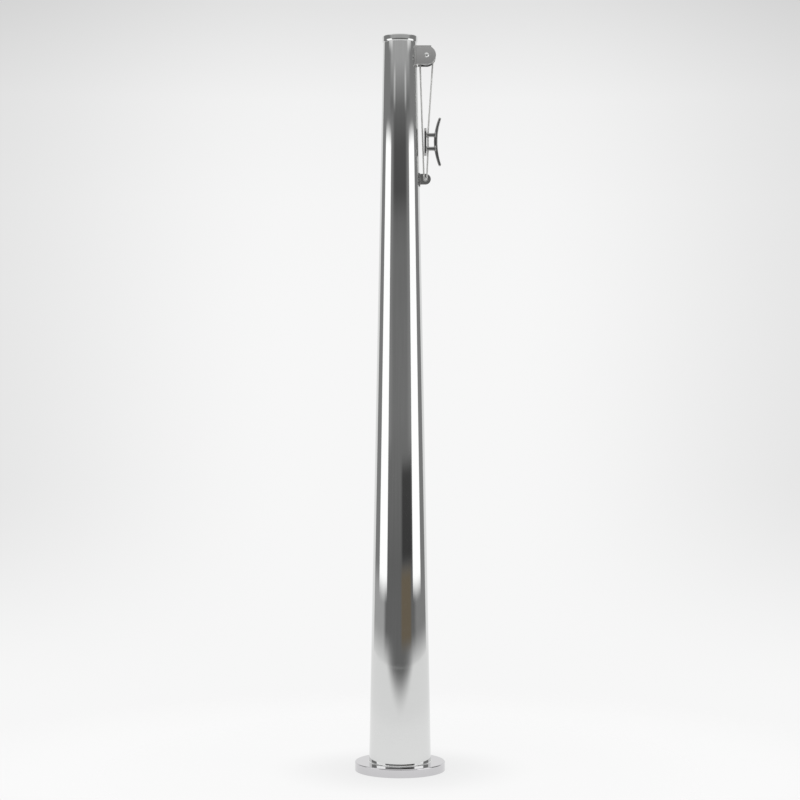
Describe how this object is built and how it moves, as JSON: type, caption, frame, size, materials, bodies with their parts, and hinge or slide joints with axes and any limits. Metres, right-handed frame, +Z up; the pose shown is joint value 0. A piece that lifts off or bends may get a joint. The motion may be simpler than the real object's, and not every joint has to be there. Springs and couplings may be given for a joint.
{
  "type": "flagpole",
  "caption": "Short tapered flagpole on a round flange, with a looped halyard, a sheave bracket, a horn cleat and a lower cord bracket.",
  "frame": {"origin": "centre of the base flange's underside", "axes": "+Z up along the pole, +X towards the halyard and cleat, the front of the upper pin faces -Y"},
  "size_m": [0.27, 0.27, 2.198],
  "materials": {
    "polished_steel": "mirror-polished stainless steel",
    "satin_steel": "satin stainless steel",
    "sheave_metal": "turned aluminium",
    "cast_metal": "polished casting",
    "cord": "braided light grey cord"
  },
  "bodies": {
    "pole": {"base_flange": "polished_steel", "base_weld": "polished_steel", "pole_tube": "polished_steel", "top_cap": "polished_steel", "truck_saddle": "satin_steel", "truck_cheek_front": "satin_steel", "truck_cheek_rear": "satin_steel", "truck_top_plate": "satin_steel", "truck_pin": "polished_steel", "truck_pin_nut": "polished_steel", "truck_spacer_front": "satin_steel", "truck_spacer_rear": "satin_steel", "halyard": "cord", "cleat": "cast_metal", "lower_saddle": "satin_steel", "lower_cheek": "satin_steel", "lower_pin": "polished_steel", "lower_pin_washer": "polished_steel", "lower_pin_nut": "polished_steel"},
    "sheave_wheel": {"sheave": "sheave_metal"}
  },
  "joints": [
    {"name": "sheave_spin", "type": "hinge", "parent": "pole", "child": "sheave_wheel", "pos_m": [0.0795, 0, 2.139], "axis": [0, 1, 0], "continuous": true}
  ]
}
